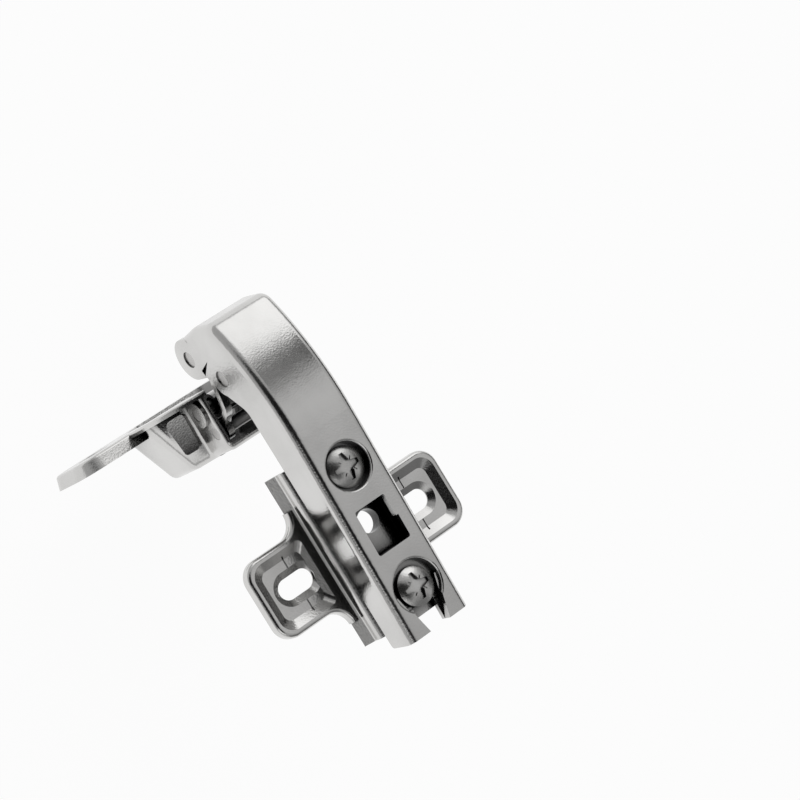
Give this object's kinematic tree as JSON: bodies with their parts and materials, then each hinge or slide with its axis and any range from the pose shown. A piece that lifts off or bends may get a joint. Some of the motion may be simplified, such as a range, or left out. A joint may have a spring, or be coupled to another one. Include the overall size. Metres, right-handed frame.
{
  "type": "concealed overlay hinge",
  "caption": "Concealed overlay cabinet hinge: cranked pressed arm on a winged slide-on plate, linked by pivots to a drawn cup with a screw-on flange.",
  "frame": {"origin": "midway between the two slots of the mounting plate, on the face that lies on the cabinet", "axes": "+X along the arm towards the cup, +Y along the pivot pins, +Z away from the cabinet"},
  "size_m": [0.0756, 0.062, 0.0617],
  "materials": {
    "nickel_steel": "bright nickel plate on pressed steel, slightly soft",
    "nickel_screws": "bright nickel plate on steel screws",
    "nickel_pins": "plain steel pins, satin",
    "leaf_spring": "dark spring steel"
  },
  "bodies": {
    "plate": {"mounting_plate": "nickel_steel"},
    "fixing_screw": {"fixing_screw": "nickel_screws"},
    "arm": {"hinge_arm": "nickel_steel", "leaf_spring": "leaf_spring", "front_arm_pin": "nickel_pins", "rear_arm_pin": "nickel_pins"},
    "adjusting_screw": {"adjusting_screw": "nickel_screws"},
    "outer_link": {"outer_link": "nickel_steel"},
    "inner_link": {"inner_link": "nickel_steel"},
    "cup": {"hinge_cup": "nickel_steel", "shallow_cup_pin": "nickel_pins", "deep_cup_pin": "nickel_pins"}
  },
  "joints": [
    {"name": "fixing_screw_turn", "type": "hinge", "parent": "plate", "child": "fixing_screw", "pos_m": [-0.0124, 0, 0.011], "axis": [0, 0, 1], "range_deg": [-180, 180]},
    {"name": "arm_slide", "type": "slide", "parent": "plate", "child": "arm", "axis": [1, 0, 0], "range_m": [-0.0012, 0.0012]},
    {"name": "adjusting_screw_turn", "type": "hinge", "parent": "arm", "child": "adjusting_screw", "pos_m": [0.0152, 0, 0.01482], "axis": [-0.0523, 0, 0.9986], "range_deg": [-180, 180]},
    {"name": "outer_link_swing", "type": "hinge", "parent": "arm", "child": "outer_link", "pos_m": [0.049, 0, -0.0037], "axis": [0, -1, 0], "range_deg": [0, 33.6]},
    {"name": "cup_swing", "type": "hinge", "parent": "outer_link", "child": "cup", "pos_m": [0.03307, 0, -0.01314], "axis": [0, -1, 0], "range_deg": [0, 47.2]},
    {"name": "inner_link_swing", "type": "hinge", "parent": "arm", "child": "inner_link", "pos_m": [0.0425, 0, 0.0041], "axis": [0, -1, 0], "range_deg": [0, 16.5]}
  ],
  "couplings": [
    {"joint": "cup_swing", "follows": "outer_link_swing", "ratio": 1.402},
    {"joint": "inner_link_swing", "follows": "outer_link_swing", "ratio": 0.488}
  ]
}
